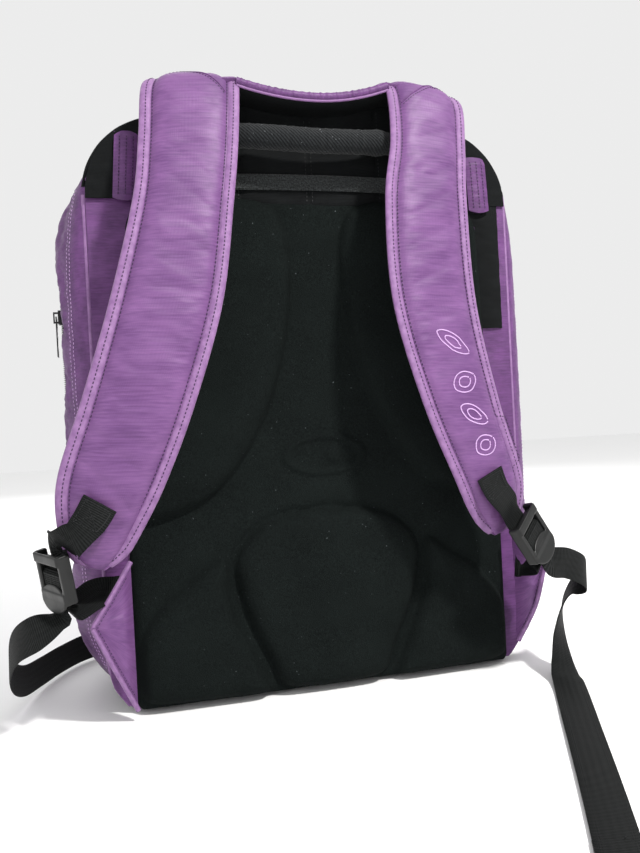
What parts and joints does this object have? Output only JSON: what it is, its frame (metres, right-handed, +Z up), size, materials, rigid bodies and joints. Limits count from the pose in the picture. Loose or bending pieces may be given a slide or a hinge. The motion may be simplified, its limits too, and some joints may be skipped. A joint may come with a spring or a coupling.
{
  "type": "racket backpack",
  "caption": "Upright padded backpack for rackets with two arm straps, moulded back pad, haul handle, adjusters with free webbing tails and five zipped openings",
  "frame": {"origin": "on the flat underside of the base panel, on the bag's mid-plane, 87 mm in front of the plane where the back pad is sewn on", "axes": "+Z up from the base, +Y towards the front of the bag (away from the wearer), +X to the right for someone looking at the back panel"},
  "size_m": [0.4707, 0.5282, 0.498],
  "materials": {
    "black_knit_foam": "matt black brushed knit over moulded foam",
    "purple_nylon": "lustrous purple woven nylon with fine cross wrinkles",
    "black_fabric": "matt black woven polyester",
    "black_webbing": "ribbed black 25 mm webbing",
    "zip_tape": "black woven tape with a black nylon coil",
    "lining": "grey lining over thin foam",
    "frame_sheet": "translucent grey polyethylene sheet",
    "lilac_piping": "covered piping cord",
    "black_acetal": "semi-gloss moulded black acetal",
    "zip_metal": "black enamelled die-cast zinc"
  },
  "bodies": {
    "root": {"back_pad": "black_knit_foam", "left_strap": "purple_nylon", "right_strap": "purple_nylon", "yoke": "purple_nylon", "racket_gusset": "purple_nylon", "racket_cover": "purple_nylon", "front_pocket": "purple_nylon", "left_side_pocket": "purple_nylon", "right_side_pocket": "purple_nylon", "left_wing": "purple_nylon", "right_wing": "purple_nylon", "upper_back_panel": "black_fabric", "back_wall": "black_fabric", "main_gusset": "black_fabric", "divider": "black_fabric", "base_panel": "black_fabric", "loop_band": "black_webbing", "left_handle_anchor": "black_webbing", "right_handle_anchor": "black_webbing", "left_strap_webbing": "black_webbing", "right_strap_webbing": "black_webbing", "left_lower_webbing": "black_webbing", "right_lower_webbing": "black_webbing", "left_tail": "black_webbing", "right_tail": "black_webbing", "main_zip_track": "zip_tape", "racket_zip_track": "zip_tape", "front_zip_track": "zip_tape", "left_side_zip_track": "zip_tape", "right_side_zip_track": "zip_tape", "inner_sleeve": "lining", "frame_sheet": "frame_sheet", "back_piping": "lilac_piping", "front_piping": "lilac_piping"},
    "handle": {"haul_handle": "black_knit_foam"},
    "left_lock": {"left_ladder_lock": "black_acetal", "left_webbing_turn": "black_webbing"},
    "right_lock": {"right_ladder_lock": "black_acetal", "right_webbing_turn": "black_webbing"},
    "main_a_slider": {"main_zip_slider_a": "zip_metal"},
    "main_a_pull": {"main_zip_pull_a": "zip_metal"},
    "main_b_slider": {"main_zip_slider_b": "zip_metal"},
    "main_b_pull": {"main_zip_pull_b": "zip_metal"},
    "racket_slider": {"racket_zip_slider": "zip_metal"},
    "racket_pull": {"racket_zip_pull": "zip_metal"},
    "front_slider": {"front_zip_slider": "zip_metal"},
    "front_pull": {"front_zip_pull": "zip_metal"},
    "left_side_slider": {"left_side_zip_slider": "zip_metal"},
    "left_side_pull": {"left_side_zip_pull": "zip_metal"},
    "right_side_slider": {"right_side_zip_slider": "zip_metal"},
    "right_side_pull": {"right_side_zip_pull": "zip_metal"}
  },
  "joints": [
    {"name": "handle_swing", "type": "hinge", "parent": "root", "child": "handle", "pos_m": [0, -0.099, 0.447], "axis": [1, 0, 0], "range_deg": [-50, 45]},
    {"name": "left_lock_tilt", "type": "hinge", "parent": "root", "child": "left_lock", "pos_m": [-0.212, -0.146, 0.135], "axis": [-0.5165, 0.854, 0.0628], "range_deg": [0, 25]},
    {"name": "right_lock_tilt", "type": "hinge", "parent": "root", "child": "right_lock", "pos_m": [0.142, -0.161, 0.133], "axis": [-0.6833, -0.4749, -0.5545], "range_deg": [0, 25]},
    {"name": "main_a_slide", "type": "slide", "parent": "root", "child": "main_a_slider", "axis": [1, 0, 0], "range_m": [-0.095, 0]},
    {"name": "main_a_pull_swing", "type": "hinge", "parent": "main_a_slider", "child": "main_a_pull", "pos_m": [-0.009, -0.03, 0.4747], "axis": [0, 1, 0], "range_deg": [0, 100]},
    {"name": "main_b_slide", "type": "slide", "parent": "root", "child": "main_b_slider", "axis": [1, 0, 0], "range_m": [0, 0.095]},
    {"name": "main_b_pull_swing", "type": "hinge", "parent": "main_b_slider", "child": "main_b_pull", "pos_m": [0.009, -0.03, 0.4747], "axis": [0, -1, 0], "range_deg": [0, 100]},
    {"name": "racket_slide", "type": "slide", "parent": "root", "child": "racket_slider", "axis": [1, 0, 0], "range_m": [-0.18, 0]},
    {"name": "racket_pull_swing", "type": "hinge", "parent": "racket_slider", "child": "racket_pull", "pos_m": [0.09, 0.04, 0.4467], "axis": [0, -1, 0], "range_deg": [0, 180]},
    {"name": "front_slide", "type": "slide", "parent": "root", "child": "front_slider", "axis": [1, 0, 0], "range_m": [-0.156, 0]},
    {"name": "front_pull_swing", "type": "hinge", "parent": "front_slider", "child": "front_pull", "pos_m": [0.078, 0.112, 0.236], "axis": [0, 0, 1], "range_deg": [0, 180]},
    {"name": "left_side_slide", "type": "slide", "parent": "root", "child": "left_side_slider", "axis": [0, 0, 1], "range_m": [-0.184, 0]},
    {"name": "left_side_pull_swing", "type": "hinge", "parent": "left_side_slider", "child": "left_side_pull", "pos_m": [-0.209, -0.012, 0.322], "axis": [0, 1, 0], "range_deg": [0, 180]},
    {"name": "right_side_slide", "type": "slide", "parent": "root", "child": "right_side_slider", "axis": [0, 0, 1], "range_m": [-0.184, 0]},
    {"name": "right_side_pull_swing", "type": "hinge", "parent": "right_side_slider", "child": "right_side_pull", "pos_m": [0.209, -0.012, 0.322], "axis": [0, -1, 0], "range_deg": [0, 180]}
  ]
}
